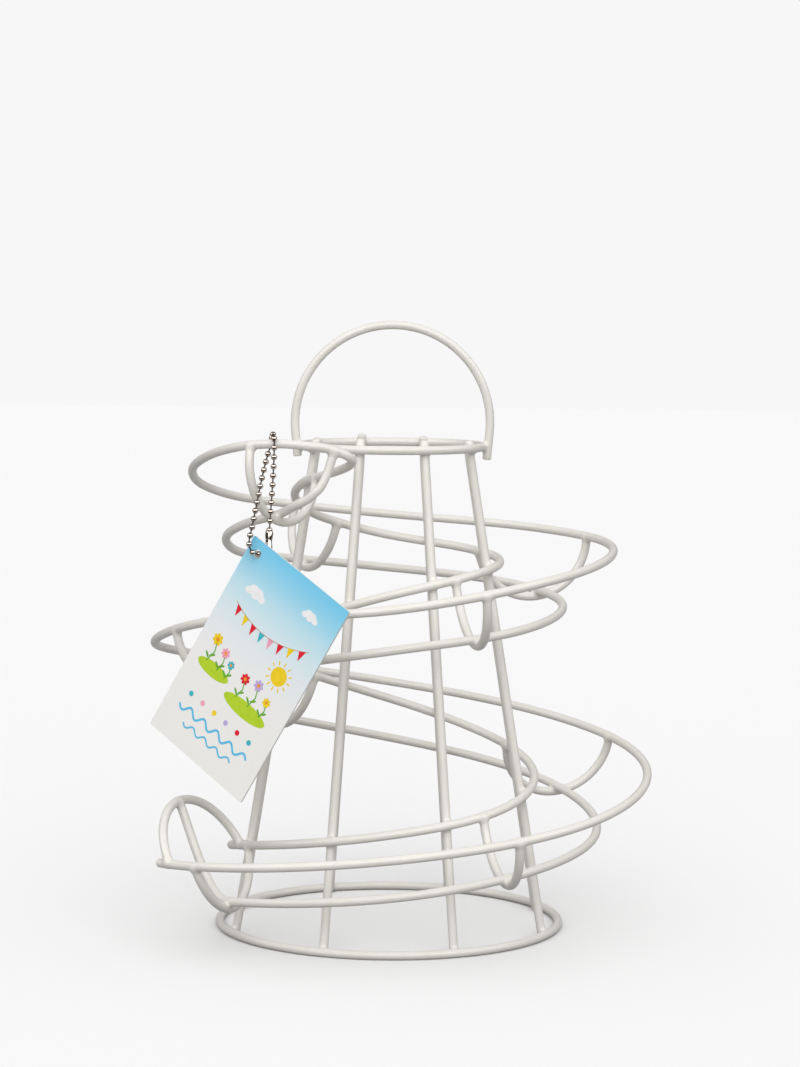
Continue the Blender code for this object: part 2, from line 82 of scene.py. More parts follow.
# Angle, inner height share, outer lift share, width share, bottom rail's share across and down
STATION_SHARES = (
    (-21.0, 0.967, 0.157, 0.530, 1.00, -0.07),
    (-23.0, 0.966, 0.181, 0.570, 1.00, 0.43),
    (-25.0, 0.964, 0.201, 0.610, 1.00, 0.755),
    (-27.0, 0.962, 0.216, 0.650, 0.975, 0.88),
    (-29.0, 0.961, 0.228, 0.690, 0.93, 0.98),
    (-34.0, 0.959, 0.251, 0.785, 0.82, 1.08),
    (-40.0, 0.957, 0.254, 0.855, 0.70, 1.14),
    (-47.0, 0.952, 0.255, 0.890, 0.64, 1.17),
    (-60.0, 0.937, 0.245, 0.907, 0.65, 1.18),
    (-75.0, 0.918, 0.212, 0.912, 0.67, 1.20),
    (-90.0, 0.900, 0.178, 0.905, 0.67, 1.22),
    (-112.0, 0.871, 0.133, 0.928, 0.64, 1.20),
    (-135.0, 0.841, 0.112, 0.950, 0.62, 1.07),
    (-180.0, 0.797, 0.122, 0.990, 0.58, 0.95),
    (-225.0, 0.776, 0.130, 1.000, 0.56, 0.95),
    (-270.0, 0.763, 0.120, 1.000, 0.56, 1.02),
    (-315.0, 0.746, 0.045, 1.000, 0.56, 1.03),
    (-360.0, 0.713, -0.025, 1.000, 0.56, 0.90),
    (-405.0, 0.655, 0.070, 1.000, 0.56, 0.97),
    (-450.0, 0.577, 0.040, 1.000, 0.56, 1.02),
    (-495.0, 0.506, 0.025, 1.000, 0.56, 1.05),
    (-540.0, 0.435, 0.030, 1.000, 0.56, 1.05),
    (-585.0, 0.370, 0.060, 1.000, 0.56, 1.02),
    (-630.0, 0.319, 0.060, 1.000, 0.56, 1.06),
    (-675.0, 0.275, 0.015, 1.000, 0.56, 0.93),
    (-720.0, 0.242, -0.030, 1.000, 0.56, 0.93),
    (-765.0, 0.205, -0.055, 1.000, 0.54, 0.88),
    (-790.0, 0.183, -0.040, 1.000, 0.54, 0.88),
)
START_ANGLE = -21.0
LEAD_ANGLE = -64.0
LEAD_REACH = 0.0271
LEAD_DROP = 0.0040
HOOK_REACH = 0.0138
HOOK_ASIDE = 0.0023
HOOK_DIP = 0.0007
OUTER_END_ANGLE = -775.3
TOUCH_END_ANGLE = -785.0
END_RUN = 0.0168
BOTTOM_START_ANGLE = -21.4
BOTTOM_END_ANGLE = -766.0
BOTTOM_RISE_REACH = 0.013
BOTTOM_TOP_REACH = 0.007
CRADLE_ANGLES = (
    (-52.0, -43.5, -44.4),
    (-147.0, -146.5, -151.0),
    (-236.0, -241.0, -245.5),
    (-325.5, -331.5, -336.5),
    (-415.0, -419.0, -423.0),
    (-503.0, -502.0, -508.0),
    (-598.0, -597.0, -603.5),
    (-682.5, -688.0, -692.5),
    (-783.5, -766.0, -763.5),
)
ARCH_INNER_ANGLE = -790.0
ARCH_OUTER_ANGLE = -771.5
ARCH_RISE = 0.0250
ARCH_LEAN_DEGREES = 29.0
ARCH_MEETING_SHARE = 0.4615

# Hang tag and ball chain
TAG_WIDTH = 0.056
TAG_HEIGHT = 0.092
TAG_THICKNESS = 0.0008
TAG_HOLE_DIAMETER = 0.0036
TAG_HOLE_INSET = 0.0055
TAG_HEADING = -33.3
TAG_LEAN = 6.6
TAG_SPIN = 30.0
TAG_ASIDE = 0.0021
TAG_RISE = 0.0330
TAG_REST_ANGLE = -393.3
BEAD_DIAMETER = 0.00255
BEAD_PITCH = 0.0039
LINK_NECK = 0.0006
CHAIN_ANGLE = -37.5
CHAIN_HEADING = 9.5
CHAIN_SLACK = 0.0004
CLASP_DIAMETER = 0.0032
CLASP_LENGTH = 0.0085
CLASP_ASIDE = 0.0030
CLASP_RISE = 0.0012
CLASP_BACK = 0.0030
STRAND_ASIDE = 0.0019
STRAND_BOW = 0.0015
STRAND_RISE = 0.0065
STRAND_FRONT = 0.0030
ROUTE_STEP = 0.00005
BEND_STEPS = 20
LOOP_STEPS = 24
LINK_STRIDE = 12
LINK_SIDES = 10
BEAD_SIDES = 20
CLASP_SIDES = 28

# Camera, as fitted to the photograph: image size taken as 800 x 1067
CAMERA_DISTANCE = 1.280786
CAMERA_HEIGHT = 0.271179
CAMERA_PITCH = 0.0792926
CAMERA_ROLL = -0.0076817
CAMERA_YAW = 0.0027761
CAMERA_LENS = 100.936
SENSOR_HEIGHT = 36.0

# Weld fillets: how wide they blend, how far they stand proud, and the grid that they are cut from
WELD_BLEND = 0.0019
BUTT_BLEND = 0.0008
BUTT_ROUND = 0.00004
WELD_PROUD = 0.00002
WELD_LEAST_SWELL = 0.000004
WELD_HALF = 0.0048
WELD_CELL = 0.0003
WELD_REACH = 0.009
SEEK_STEP = 0.0006
FREE_END_POINTS = 3
BATCH = 400
NUDGE = 1e-5

# Printed face: gloss, roughness, and how far the layers of ink and shapes that lap over stand apart
PRINT_GLOSS = 0.25
PRINT_ROUGHNESS = 0.45
INK_LAYER = 0.00002
SHAPE_LIFT = 0.000003
CARD_CORNER = 0.0006
HOLE_SIDES = 40

# Studio
SKY_SIDES = 0.36
SKY_TOP = 0.52
SKY_FRONT = 0.26
FLOOR_BOUNCE = 0.22
FLOOR_TONE = 0.93
FLOOR_REACH = 6.0
FLOOR_DROP = 0.00005
BACKDROP = (247, 247, 247)
SOFT_BOX = 3.0
ROOM_TONE = 0.02
REAR_TONE = 0.15
TABLE_TONE = 0.5
TABLE_REACH = 0.23

UP = Vector((0, 0, 1))


# Paths
def polar(radius, angle, height):
    turn = math.radians(angle)
    return Vector((radius * math.sin(turn), -radius * math.cos(turn), height))


def station_value(angle, column):
    rows = STATION_SHARES
    index = 0
    while index < len(rows) - 2 and angle < rows[index + 1][0]:
        index += 1
    first = rows[index]
    second = rows[index + 1]
    span = second[0] - first[0]
    share = (angle - first[0]) / span
    before = rows[index - 1] if index > 0 else first
    after = rows[index + 2] if index + 2 < len(rows) else second
    slope_first = (second[column] - before[column]) / (second[0] - before[0])
    slope_second = (after[column] - first[column]) / (after[0] - first[0])
    square = share * share
    cube = square * share
    value = (2 * cube - 3 * square + 1) * first[column]
    value += (cube - 2 * square + share) * span * slope_first
    value += (3 * square - 2 * cube) * second[column]
    value += (cube - square) * span * slope_second
    return value


# The base ring of the solids lies on a flat facet.
BASE_RING_HEIGHT = WIRE_RADIUS * math.cos(math.pi / SOLID_SIDES)
BASE_RING_RADIUS = BASE_RING_DIAMETER / 2 - WIRE_RADIUS
TOP_RING_RADIUS = TOP_RING_DIAMETER / 2 - WIRE_RADIUS
SLOPE = math.atan2(BASE_RING_RADIUS - TOP_RING_RADIUS, TOP_RING_HEIGHT - BASE_RING_HEIGHT)


def ring_line(height):
    """Distance from the axis of the line through both rings' middles."""
    share = (height - BASE_RING_HEIGHT) / (TOP_RING_HEIGHT - BASE_RING_HEIGHT)
    return BASE_RING_RADIUS + (TOP_RING_RADIUS - BASE_RING_RADIUS) * share


def track_point(angle, across, drop):
    """A place on the track: across is 0 at the inner rail and 1 at the outer one."""
    height = station_value(angle, 1) * TOP_RING_HEIGHT
    radius = ring_line(height) + across * station_value(angle, 3) * TRACK_WIDTH
    return polar(radius, angle, height + across * station_value(angle, 2) * TRACK_WIDTH - drop)


def inner_point(angle):
    return track_point(angle, 0, 0)


def outer_point(angle):
    return track_point(angle, 1, 0)


def bottom_point(angle):
    return track_point(angle, station_value(angle, 4), station_value(angle, 5) * TRACK_DROP)


def heading_at(function, angle):
    return (function(angle - 0.5) - function(angle + 0.5)).normalized()


def bezier(first, second, third, fourth, steps=ARC_STEPS):
    points = []
    for index in range(1, steps + 1):
        share = index / steps
        rest = 1 - share
        point = first * rest ** 3 + second * (3 * rest * rest * share)
        points.append(point + third * (3 * rest * share * share) + fourth * share ** 3)
    return points


def spaced(function, first, last, step=0.75):
    count = max(1, round(abs(last - first) / step))
    return [function(first + (last - first) * index / count) for index in range(count + 1)]


def angle_of(point, near):
    angle = math.degrees(math.atan2(point.x, -point.y))
    return angle + 360 * round((near - angle) / 360)


def at_angle(path, angle):
    """Where a path down the track passes an angle, and its direction there."""
    previous = angle_of(path[0], START_ANGLE)
    for index in range(1, len(path)):
        here = angle_of(path[index], previous)
        if here <= angle <= previous or (index == len(path) - 1 and angle < here):
            share = (previous - angle) / (previous - here)
            step = path[index] - path[index - 1]
            return path[index - 1] + step * share, step.normalized()
        previous = here
    return path[-1], (path[-1] - path[-2]).normalized()


def circle_through(first, middle, last):
    """Points on the arc from the first point over the middle one to the last."""
    side = (last - first).normalized()
    down = middle - first
    down = (down - side * down.dot(side)).normalized()
    along = (middle - first).dot(side)
    depth = (middle - first).dot(down)
    half = (last - first).length / 2
    centre_depth = (along * along + depth * depth - 2 * half * along) / (2 * depth)
    centre = first + side * half + down * centre_depth
    radius = math.hypot(half, centre_depth)
    start = math.atan2(-centre_depth, -half)
    finish = math.atan2(-centre_depth, half)
    if start < 0:
        start += 2 * math.pi
    if finish > start:
        finish -= 2 * math.pi
    points = []
    for index in range(ARC_STEPS + 1):
        turn = start + (finish - start) * index / ARC_STEPS
        points.append(centre + side * (radius * math.cos(turn)) + down * (radius * math.sin(turn)))
    return points


OUTER = spaced(outer_point, START_ANGLE, OUTER_END_ANGLE)


def make_inner():
    back = (OUTER[1] - OUTER[0]).normalized()
    weld = OUTER[0] - back * SEAT_GAP
    straight = weld - back * WIRE_RADIUS
    touch = inner_point(LEAD_ANGLE)
    away = -heading_at(inner_point, LEAD_ANGLE)
    reach = touch + away * LEAD_REACH - UP * LEAD_DROP
    aside = UP.cross(back).normalized()
    hook = straight - back * HOOK_REACH + aside * HOOK_ASIDE - UP * HOOK_DIP
    path = [weld, straight] + bezier(straight, hook, reach, touch)
    path += spaced(inner_point, LEAD_ANGLE, TOUCH_END_ANGLE)[1:]
    path.append(path[-1] + heading_at(inner_point, TOUCH_END_ANGLE) * END_RUN)
    return path


INNER = make_inner()


def arch_frame():
    inner = at_angle(INNER, ARCH_INNER_ANGLE)[0]
    outer = at_angle(OUTER, ARCH_OUTER_ANGLE)[0]
    side = (inner - outer).normalized()
    travel = UP.cross(side).normalized()
    if travel.dot(heading_at(outer_point, ARCH_OUTER_ANGLE)) < 0:
        travel = -travel
    upright = side.cross(travel).normalized()
    if upright.z < 0:
        upright = -upright
    lean = math.radians(ARCH_LEAN_DEGREES)
    rise = upright * math.cos(lean) + travel * math.sin(lean)
    ahead = travel * math.cos(lean) - upright * math.sin(lean)
    return inner, outer, rise, ahead


def sunk_arc(first, middle, last):
    """Arc between two rails whose ends sink into them a little, found in a few rounds."""
    seat = WIRE_RADIUS - WELD_SINK
    leaves = [(middle - first).normalized(), (middle - last).normalized()]
    for index in range(4):
        points = circle_through(first + leaves[0] * seat, middle, last + leaves[1] * seat)
        leaves = [(points[1] - points[0]).normalized(), (points[-2] - points[-1]).normalized()]
    return points


def make_arch():
    inner, outer, rise, ahead = arch_frame()
    return sunk_arc(outer, (inner + outer) / 2 + rise * ARCH_RISE, inner)


ARCH = make_arch()


def make_bottom():
    path = spaced(bottom_point, BOTTOM_START_ANGLE, BOTTOM_END_ANGLE)
    inner, outer, rise, ahead = arch_frame()
    meeting = round(ARC_STEPS * ARCH_MEETING_SHARE)
    outward = (ARCH[meeting + 1] - ARCH[meeting - 1]).cross(ahead).normalized()
    if outward.dot(rise) < 0:
        outward = -outward
    top = ARCH[meeting] - outward * (WIRE_RADIUS - WELD_SINK)
    way = heading_at(bottom_point, BOTTOM_END_ANGLE)
    leave = path[-1] + way * BOTTOM_RISE_REACH
    return path + bezier(path[-1], leave, top - outward * BOTTOM_TOP_REACH, top, RISE_STEPS)


BOTTOM = make_bottom()


def make_cradle(inner_angle, low_angle, outer_angle):
    inner = at_angle(INNER, inner_angle)[0]
    outer = at_angle(OUTER, outer_angle)[0]
    low = at_angle(BOTTOM, low_angle)[0]
    return sunk_arc(inner, low - UP * (WIRE_DIAMETER - WELD_SINK), outer)


def make_upright(index):
    angle = 360 / UPRIGHT_COUNT * (index + 0.5)
    sink = (WIRE_DIAMETER - WELD_SINK) / math.cos(SLOPE)
    top = TOP_RING_HEIGHT + UPRIGHT_STUB * STUB_SHARES[index]
    foot = polar(ring_line(UPRIGHT_FOOT_HEIGHT) - sink, angle, UPRIGHT_FOOT_HEIGHT)
    return [foot, polar(ring_line(top) - sink, angle, top)]


def make_handle():
    """Hoop that is a little more than half a circle, so that its legs run in towards the ring."""
    side = polar(1, 90, 0)
    centre = UP * (TOP_RING_HEIGHT + HANDLE_CENTRE_RISE)
    turn_in = math.radians(HANDLE_TURN_IN)
    path = []
    for index in range(HANDLE_STEPS + 1):
        turn = -turn_in + (math.pi + 2 * turn_in) * index / HANDLE_STEPS
        across = side * (HANDLE_RADIUS * math.cos(turn))
        path.append(centre - across + UP * (HANDLE_RADIUS * math.sin(turn)))
    legs = []
    for end, way, more in ((path[0], 1, HANDLE_LEG_DROPS[0]), (path[-1], -1, HANDLE_LEG_DROPS[1])):
        drop = end.z - TOP_RING_HEIGHT + more
        legs.append(end + side * (way * drop * math.tan(turn_in)) - UP * drop)
    return [legs[0]] + path + [legs[1]]


# Mesh helpers
def link_object(name, data):
    item = bpy.data.objects.new(name, data)
    bpy.context.scene.collection.objects.link(item)
    return item


def new_object(name, verts, faces, material, smooth=True):
    mesh = bpy.data.meshes.new(name)
    mesh.from_pydata([tuple(v) for v in verts], [], [tuple(f) for f in faces])
    mesh.validate()
    mesh.update()
    if smooth:
        mesh.polygons.foreach_set("use_smooth", [True] * len(mesh.polygons))
    mesh.materials.append(material)
    return link_object(name, mesh)


def add_shell(verts, faces, more, shell):
    """Adds one shell's vertices and faces to the lists of others."""
    faces += [tuple(v + len(verts) for v in f) for f in shell]
    verts += more


def full_turn(count):
    """Cosines and sines at even steps of a full circle."""
    turns = [2 * math.pi * index / count for index in range(count)]
    return [(math.cos(turn), math.sin(turn)) for turn in turns]


def tube_faces(rings, sides, closed=False):
    """Faces between rings of vertices, with a flat face on each end of an open tube."""
    faces = []
    for ring in range(rings if closed else rings - 1):
        after = (ring + 1) % rings
        for side in range(sides):
            beside = (side + 1) % sides
            faces.append((ring * sides + side, ring * sides + beside,
                          after * sides + beside, after * sides + side))
    if not closed:
        faces.append(tuple(range(sides))[::-1])
        faces.append(tuple((rings - 1) * sides + side for side in range(sides)))
    return faces


def even(points, step):
    """Points of a path at even distances, its sharp corners kept by the density."""
    q = np.array([tuple(p) for p in points])
    lengths = np.concatenate([[0], np.cumsum(np.linalg.norm(np.diff(q, axis=0), axis=1))])
    count = max(1, int(round(lengths[-1] / step)))
    at = np.linspace(0, lengths[-1], count + 1)
    return np.stack([np.interp(at, lengths, q[:, k]) for k in range(3)], 1)


def sweep(path, radii, sides, closed=False):
    """Vertices and faces of a tube along a path, with flat fans where it ends."""
    q = np.asarray(path, float)
    count = len(q)
    if closed:
        way = np.roll(q, -1, 0) - np.roll(q, 1, 0)
    else:
        way = np.gradient(q, axis=0)
    way /= np.linalg.norm(way, axis=1)[:, None]
    start = np.cross(way[0], (0, 0, 1))
    if np.linalg.norm(start) < 0.1:
        start = np.cross(way[0], (1, 0, 0))
    normal = start / np.linalg.norm(start)
    verts = np.zeros((count, sides, 3))
    turn = 2 * np.pi * (np.arange(sides) + 0.5) / sides
    for index in range(count):
        normal = normal - way[index] * normal.dot(way[index])
        normal /= np.linalg.norm(normal)
        other = np.cross(way[index], normal)
        ring = np.cos(turn)[:, None] * normal + np.sin(turn)[:, None] * other
        verts[index] = q[index] + ring * radii[index]
    return list(verts.reshape(-1, 3)), tube_faces(count, sides, closed)


def make_wire(node, points, step, rounds):
    """A round wire with rounded ends, standing for a CAD node."""
    q = even(points, step) + np.array(AXIS)
    if is_closed(node):
        q = q[:-1]
        verts, faces = sweep(q, np.full(len(q), WIRE_RADIUS), WIRE_SIDES, True)
    else:
        ends = []
        sizes = []
        for place, beside, size in ((q[0], q[1], rounds[0]), (q[-1], q[-2], rounds[1])):
            way = (beside - place) / np.linalg.norm(beside - place)
            for index in range(END_STEPS + 1):
                turn = math.pi / 2 * index / END_STEPS
                ends.append(place + way * (size * (1 - math.sin(turn))))
                sizes.append(WIRE_RADIUS - size * (1 - math.cos(turn)))
        reach = max(rounds) * 1.05
        body = [p for p in q[1:-1]
                if np.linalg.norm(p - q[0]) > reach and np.linalg.norm(p - q[-1]) > reach]
        path = ends[END_STEPS::-1] + body + ends[END_STEPS + 1:]
        radii = sizes[END_STEPS::-1] + [WIRE_RADIUS] * len(body) + sizes[END_STEPS + 1:]
        verts, faces = sweep(np.array(path), radii, WIRE_SIDES)
    item = new_object(node + "_wire", verts, faces, powder)
    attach(item, "frame")
    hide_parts(node)
    return item


# Materials
def fill(node, values):
    """Sets a node's inputs, and links those whose value is another node's output."""
    for name, value in values.items():
        socket = node.inputs[name]
        if isinstance(value, bpy.types.NodeSocket):
            node.id_data.links.new(value, socket)
        else:
            socket.default_value = value
    return node


def add_node(tree, kind, values):
    return fill(tree.nodes.new("ShaderNode" + kind), values)


def add_ramp(tree, share, stops):
    """Colour along a share, from stops of position and colour."""
    ramp = add_node(tree, "ValToRGB", {"Fac": share})
    elements = ramp.color_ramp.elements
    while len(elements) < len(stops):
        elements.new(0.5)
    for index, (position, colour) in enumerate(stops):
        elements[index].position = position
        elements[index].color = (*colour, 1)
    return ramp.outputs["Color"]


def add_span(tree, value, start, finish, low=0.0, high=1.0):
    """A value carried from one span to another and held at its ends."""
    return add_node(tree, "MapRange", {
        "Value": value, "From Min": start, "From Max": finish, "To Min": low, "To Max": high,
    }).outputs["Result"]


def add_place(tree, kind):
    """X, Y and Z of a texture coordinate."""
    place = add_node(tree, "TexCoord", {})
    return add_node(tree, "SeparateXYZ", {"Vector": place.outputs[kind]}).outputs


def shader_of(material):
    return material.node_tree.nodes["Principled BSDF"]


def linear(red, green, blue):
    """Scene colour of an sRGB colour given from 0 to 255."""
    out = []
    for value in (red, green, blue):
        share = value / 255
        out.append(share / 12.92 if share <= 0.04045 else ((share + 0.055) / 1.055) ** 2.4)
    return tuple(out)


def new_material(name, colour, roughness, metallic=0.0):
    material = bpy.data.materials.new(name)
    material.use_nodes = True
    fill(shader_of(material), {
        "Base Color": (*colour, 1), "Roughness": roughness, "Metallic": metallic,
    })
    return material


def add_noise(tree, scale):
    place = add_node(tree, "TexCoord", {}).outputs["Object"]
    noise = add_node(tree, "TexNoise", {"Scale": scale, "Detail": 3.0, "Vector": place})
    return noise.outputs["Fac"]


def add_bump(material, scale, strength, distance):
    tree = material.node_tree
    height = add_noise(tree, scale)
    bump = add_node(tree, "Bump", {"Strength": strength, "Distance": distance, "Height": height})
    fill(shader_of(material), {"Normal": bump.outputs["Normal"]})


def vary_roughness(material, scale, low, high):
    tree = material.node_tree
    roughness = add_span(tree, add_noise(tree, scale), 0.3, 0.7, low, high)
    fill(shader_of(material), {"Roughness": roughness})


def vary_colour(material, scale, dark, light):
    """Mixes two close tones of the base colour with a noise."""
    tree = material.node_tree
    stops = ((0.35, linear(*dark)), (0.65, linear(*light)))
    fill(shader_of(material), {"Base Color": add_ramp(tree, add_noise(tree, scale), stops)})


powder = new_material("cream_powder_coat", linear(237, 233, 227), 0.34)
add_bump(powder, 500.0, 0.05, 0.00015)
vary_roughness(powder, 260.0, 0.30, 0.38)
vary_colour(powder, 45.0, (235, 231, 224), (239, 235, 229))
fill(shader_of(powder), {"Coat Weight": 0.15, "Coat Roughness": 0.2})

nickel = new_material("bright_nickel", linear(206, 194, 184), 0.1, 1.0)
vary_roughness(nickel, 700.0, 0.06, 0.14)
add_bump(nickel, 1500.0, 0.05, 0.0001)

# Dark metal that paints shade: on the links deep between the balls and inside the clasp's slot.
painted_shade_metal = new_material("clasp_painted_shade", linear(60, 56, 52), 0.4, 0.8)
vary_roughness(painted_shade_metal, 700.0, 0.3, 0.5)


# Rack
def circle(radius, height):
    return [polar(radius, 360 * index / RING_STEPS, height) for index in range(RING_STEPS + 1)]


def is_closed(node):
    return node.endswith("_ring")


# The rails' upper ends are welded end to end, and the bottom rail's ends lie inside its neighbours.
END_ROUNDS = {
    "outer_rail": (BUTT_ROUND, END_ROUND),
    "inner_rail": (BUTT_ROUND, END_ROUND),
    "bottom_rail": (WIRE_RADIUS * 0.97, WIRE_RADIUS * 0.97),
}
JOINED_ENDS = {
    "outer_rail": (True, False),
    "inner_rail": (True, False),
    "bottom_rail": (True, True),
    "end_stop_arch": (True, True),
}

wires = {
    "outer_rail": OUTER,
    "inner_rail": INNER,
    "bottom_rail": BOTTOM,
    "end_stop_arch": ARCH,
    "carry_handle": make_handle(),
    "base_ring": circle(BASE_RING_RADIUS, BASE_RING_HEIGHT),
    "top_ring": circle(TOP_RING_RADIUS, TOP_RING_HEIGHT),
}
for number, angles in enumerate(CRADLE_ANGLES):
    wires["cradle_" + str(number + 1)] = make_cradle(*angles)
for number in range(UPRIGHT_COUNT):
    wires["upright_" + str(number + 1)] = make_upright(number)
for node, points in wires.items():
    step = UPRIGHT_STEP if node.startswith("upright") else WIRE_STEP
    piece = make_wire(node, points, step, END_ROUNDS.get(node, (END_ROUND, END_ROUND)))


# Welds
def segment_distance(points, a, b):
    """Least distance of each point from the segments a to b."""
    ab = b - a
    ap = points[:, None, :] - a[None]
    share = np.clip((ap * ab).sum(2) / np.maximum((ab * ab).sum(1), 1e-18), 0, 1)
    away = ap - share[:, :, None] * ab
    return np.sqrt((away * away).sum(2)).min(1)


def weld_field(points, first, second, blend):
    """Distance from two blended wires, and how far the blend swells there."""
    one = segment_distance(points, *first) - WIRE_RADIUS
    two = segment_distance(points, *second) - WIRE_RADIUS
    share = np.maximum(blend - np.abs(one - two), 0) / blend
    swell = share * share * blend / 4
    return np.minimum(one, two) - swell + WELD_PROUD, swell


def weld_patch(centre, first, second, blend):
    """Surface of the smooth joint of two wires round a point, without the wires' own surface."""
    count = round(2 * WELD_HALF / WELD_CELL) + 1
    line = np.linspace(-WELD_HALF, WELD_HALF, count)
    grid = np.stack(np.meshgrid(line, line, line, indexing="ij"), -1).reshape(-1, 3) + centre
    value = weld_field(grid, first, second, blend)[0].reshape(count, count, count)
    inside = value < 0
    corners = [(i, j, k) for i in (0, 1) for j in (0, 1) for k in (0, 1)]
    size = count - 1

    def part(array, i, j, k):
        return array[i:i + size, j:j + size, k:k + size]

    filled = sum(part(inside, *c).astype(int) for c in corners)
    mixed = (filled > 0) & (filled < 8)
    total = np.zeros((size, size, size, 3))
    crossings = np.zeros((size, size, size))
    for one in corners:
        for axis in range(3):
            if one[axis]:
                continue
            two = list(one)
            two[axis] = 1
            a = part(value, *one)
            b = part(value, *two)
            cross = (a < 0) != (b < 0)
            share = np.where(cross, a / np.where(cross, a - b, 1), 0)
            for k in range(3):
                place = one[k] + (share if k == axis else 0)
                total[..., k] += np.where(cross, place, 0)
            crossings += cross
    index = -np.ones((size, size, size), int)
    where = np.argwhere(mixed)
    index[tuple(where.T)] = np.arange(len(where))
    local = total[tuple(where.T)] / crossings[tuple(where.T)][:, None]
    verts = centre + (where + local) * WELD_CELL - WELD_HALF
    quads = []
    for axis in range(3):
        u, v = (axis + 1) % 3, (axis + 2) % 3
        low = [slice(0, count)] * 3
        low[axis] = slice(0, count - 1)
        high = [slice(0, count)] * 3
        high[axis] = slice(1, count)
        cross = inside[tuple(low)] != inside[tuple(high)]
        edges = np.argwhere(cross)
        keep = (edges[:, u] > 0) & (edges[:, v] > 0) & (edges[:, u] < size) & (edges[:, v] < size)
        edges = edges[keep]
        out = inside[tuple(low)][tuple(edges.T)]
        ring = []
        for du, dv in ((-1, -1), (0, -1), (0, 0), (-1, 0)):
            cell_at = edges.copy()
            cell_at[:, u] += du
            cell_at[:, v] += dv
            ring.append(index[tuple(cell_at.T)])
        ring = np.stack(ring, 1)
        ring[~out] = ring[~out][:, ::-1]
        quads.append(ring)
    quads = np.concatenate(quads)
    # Two steps down the slope bring the corners onto the surface.
    for repeat in range(2):
        base = weld_field(verts, first, second, blend)[0]
        slope = np.zeros_like(verts)
        for k in range(3):
            nudge = np.zeros(3)
            nudge[k] = NUDGE
            slope[:, k] = (weld_field(verts + nudge, first, second, blend)[0] - base) / NUDGE
        norm = np.maximum((slope * slope).sum(1), 0.25)
        verts = verts - slope * (base / norm)[:, None]
    swell = weld_field(verts, first, second, blend)[1]
    quads = quads[(swell[quads] > WELD_LEAST_SWELL).all(1) & (quads >= 0).all(1)]
    used, packed = np.unique(quads, return_inverse=True)
    return verts[used], packed.reshape(-1, 4)


def find_welds():
    """Places where two wires come close enough to be welded."""
    names = list(wires)
    dense = {}
    for name, points in wires.items():
        line = even(points, SEEK_STEP) + np.array(AXIS)
        cradle = name.startswith("cradle")
        joined = (True, True) if is_closed(name) else JOINED_ENDS.get(name, (cradle, cradle))
        if not joined[0]:
            line = line[FREE_END_POINTS:]
        if not joined[1]:
            line = line[:-FREE_END_POINTS]
        dense[name] = line
    found = []
    for i, one in enumerate(names):
        for two in names[i + 1:]:
            a, b = dense[one], dense[two]
            reach = WIRE_DIAMETER + SEEK_STEP
            low = b.min(0) - reach
            high = b.max(0) + reach
            near = np.where(((a > low) & (a < high)).all(1))[0]
            gaps = np.full(len(a), 1.0)
            for start in range(0, len(near), BATCH):
                rows = near[start:start + BATCH]
                away = a[rows][:, None, :] - b[None]
                gaps[rows] = np.sqrt((away * away).sum(2)).min(1)
            close = np.where(gaps < reach)[0]
            if not len(close):
                continue
            # A wire can meet the same neighbour more than once.
            groups = np.split(close, np.where(np.diff(close) > 3)[0] + 1)
            for group in groups:
                best = group[gaps[group].argmin()]
                to = b[np.sqrt(((b - a[best]) ** 2).sum(1)).argmin()]
                found.append((one, two, (a[best] + to) / 2))
    return dense, found


def near_segments(line, centre):
    a = line[:-1]
    b = line[1:]
    keep = np.sqrt(((a - centre) ** 2).sum(1)) < WELD_REACH
    return a[keep], b[keep]


dense_lines, weld_places = find_welds()
weld_verts = []
weld_faces = []
for one, two, centre in weld_places:
    blend = BUTT_BLEND if {one, two} == {"outer_rail", "inner_rail"} else WELD_BLEND
    first = near_segments(dense_lines[one], centre)
    second = near_segments(dense_lines[two], centre)
    verts, faces = weld_patch(centre, first, second, blend)
    add_shell(weld_verts, weld_faces, list(verts), faces)
welds = new_object("weld_fillets", weld_verts, weld_faces, powder)
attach(welds, "frame")


# Chain
def tag_frame():
    outward = polar(1, TAG_HEADING, 0)
    across = polar(1, TAG_HEADING + 90, 0)
    lean = math.radians(TAG_LEAN)
    normal = outward * math.cos(lean) + UP * math.sin(lean)
    upward = UP * math.cos(lean) - outward * math.sin(lean)
    spin = math.radians(TAG_SPIN)
    wide = across * math.cos(spin) - upward * math.sin(spin)
    high = across * math.sin(spin) + upward * math.cos(spin)
    rest = outer_point(TAG_REST_ANGLE) + normal * (WIRE_RADIUS + SEAT_GAP + TAG_THICKNESS / 2)
    corner = rest - across * TAG_ASIDE + upward * TAG_RISE
    hole = corner + wide * TAG_HOLE_INSET - high * TAG_HOLE_INSET
    return hole, normal, wide, high


HOLE, NORMAL, WIDE, HIGH = tag_frame()
RAIL, RAIL_WAY = at_angle(OUTER, CHAIN_ANGLE)
LOOP_OUT = polar(1, CHAIN_HEADING, 0)
CHAIN_LOOP = WIRE_RADIUS + SEAT_GAP + BEAD_DIAMETER / 2 + CHAIN_SLACK
FLAT_WAY = Vector((RAIL_WAY.x, RAIL_WAY.y, 0)).normalized()
LOOP_HALF = CHAIN_LOOP / abs(LOOP_OUT.cross(FLAT_WAY).z)
ASIDE = polar(1, TAG_HEADING + 90, 0)


def clasp_ends():
    low = HOLE + ASIDE * CLASP_ASIDE + UP * CLASP_RISE - NORMAL * CLASP_BACK
    toward = (RAIL + LOOP_OUT * LOOP_HALF - low).normalized()
    return low, low + toward * CLASP_LENGTH


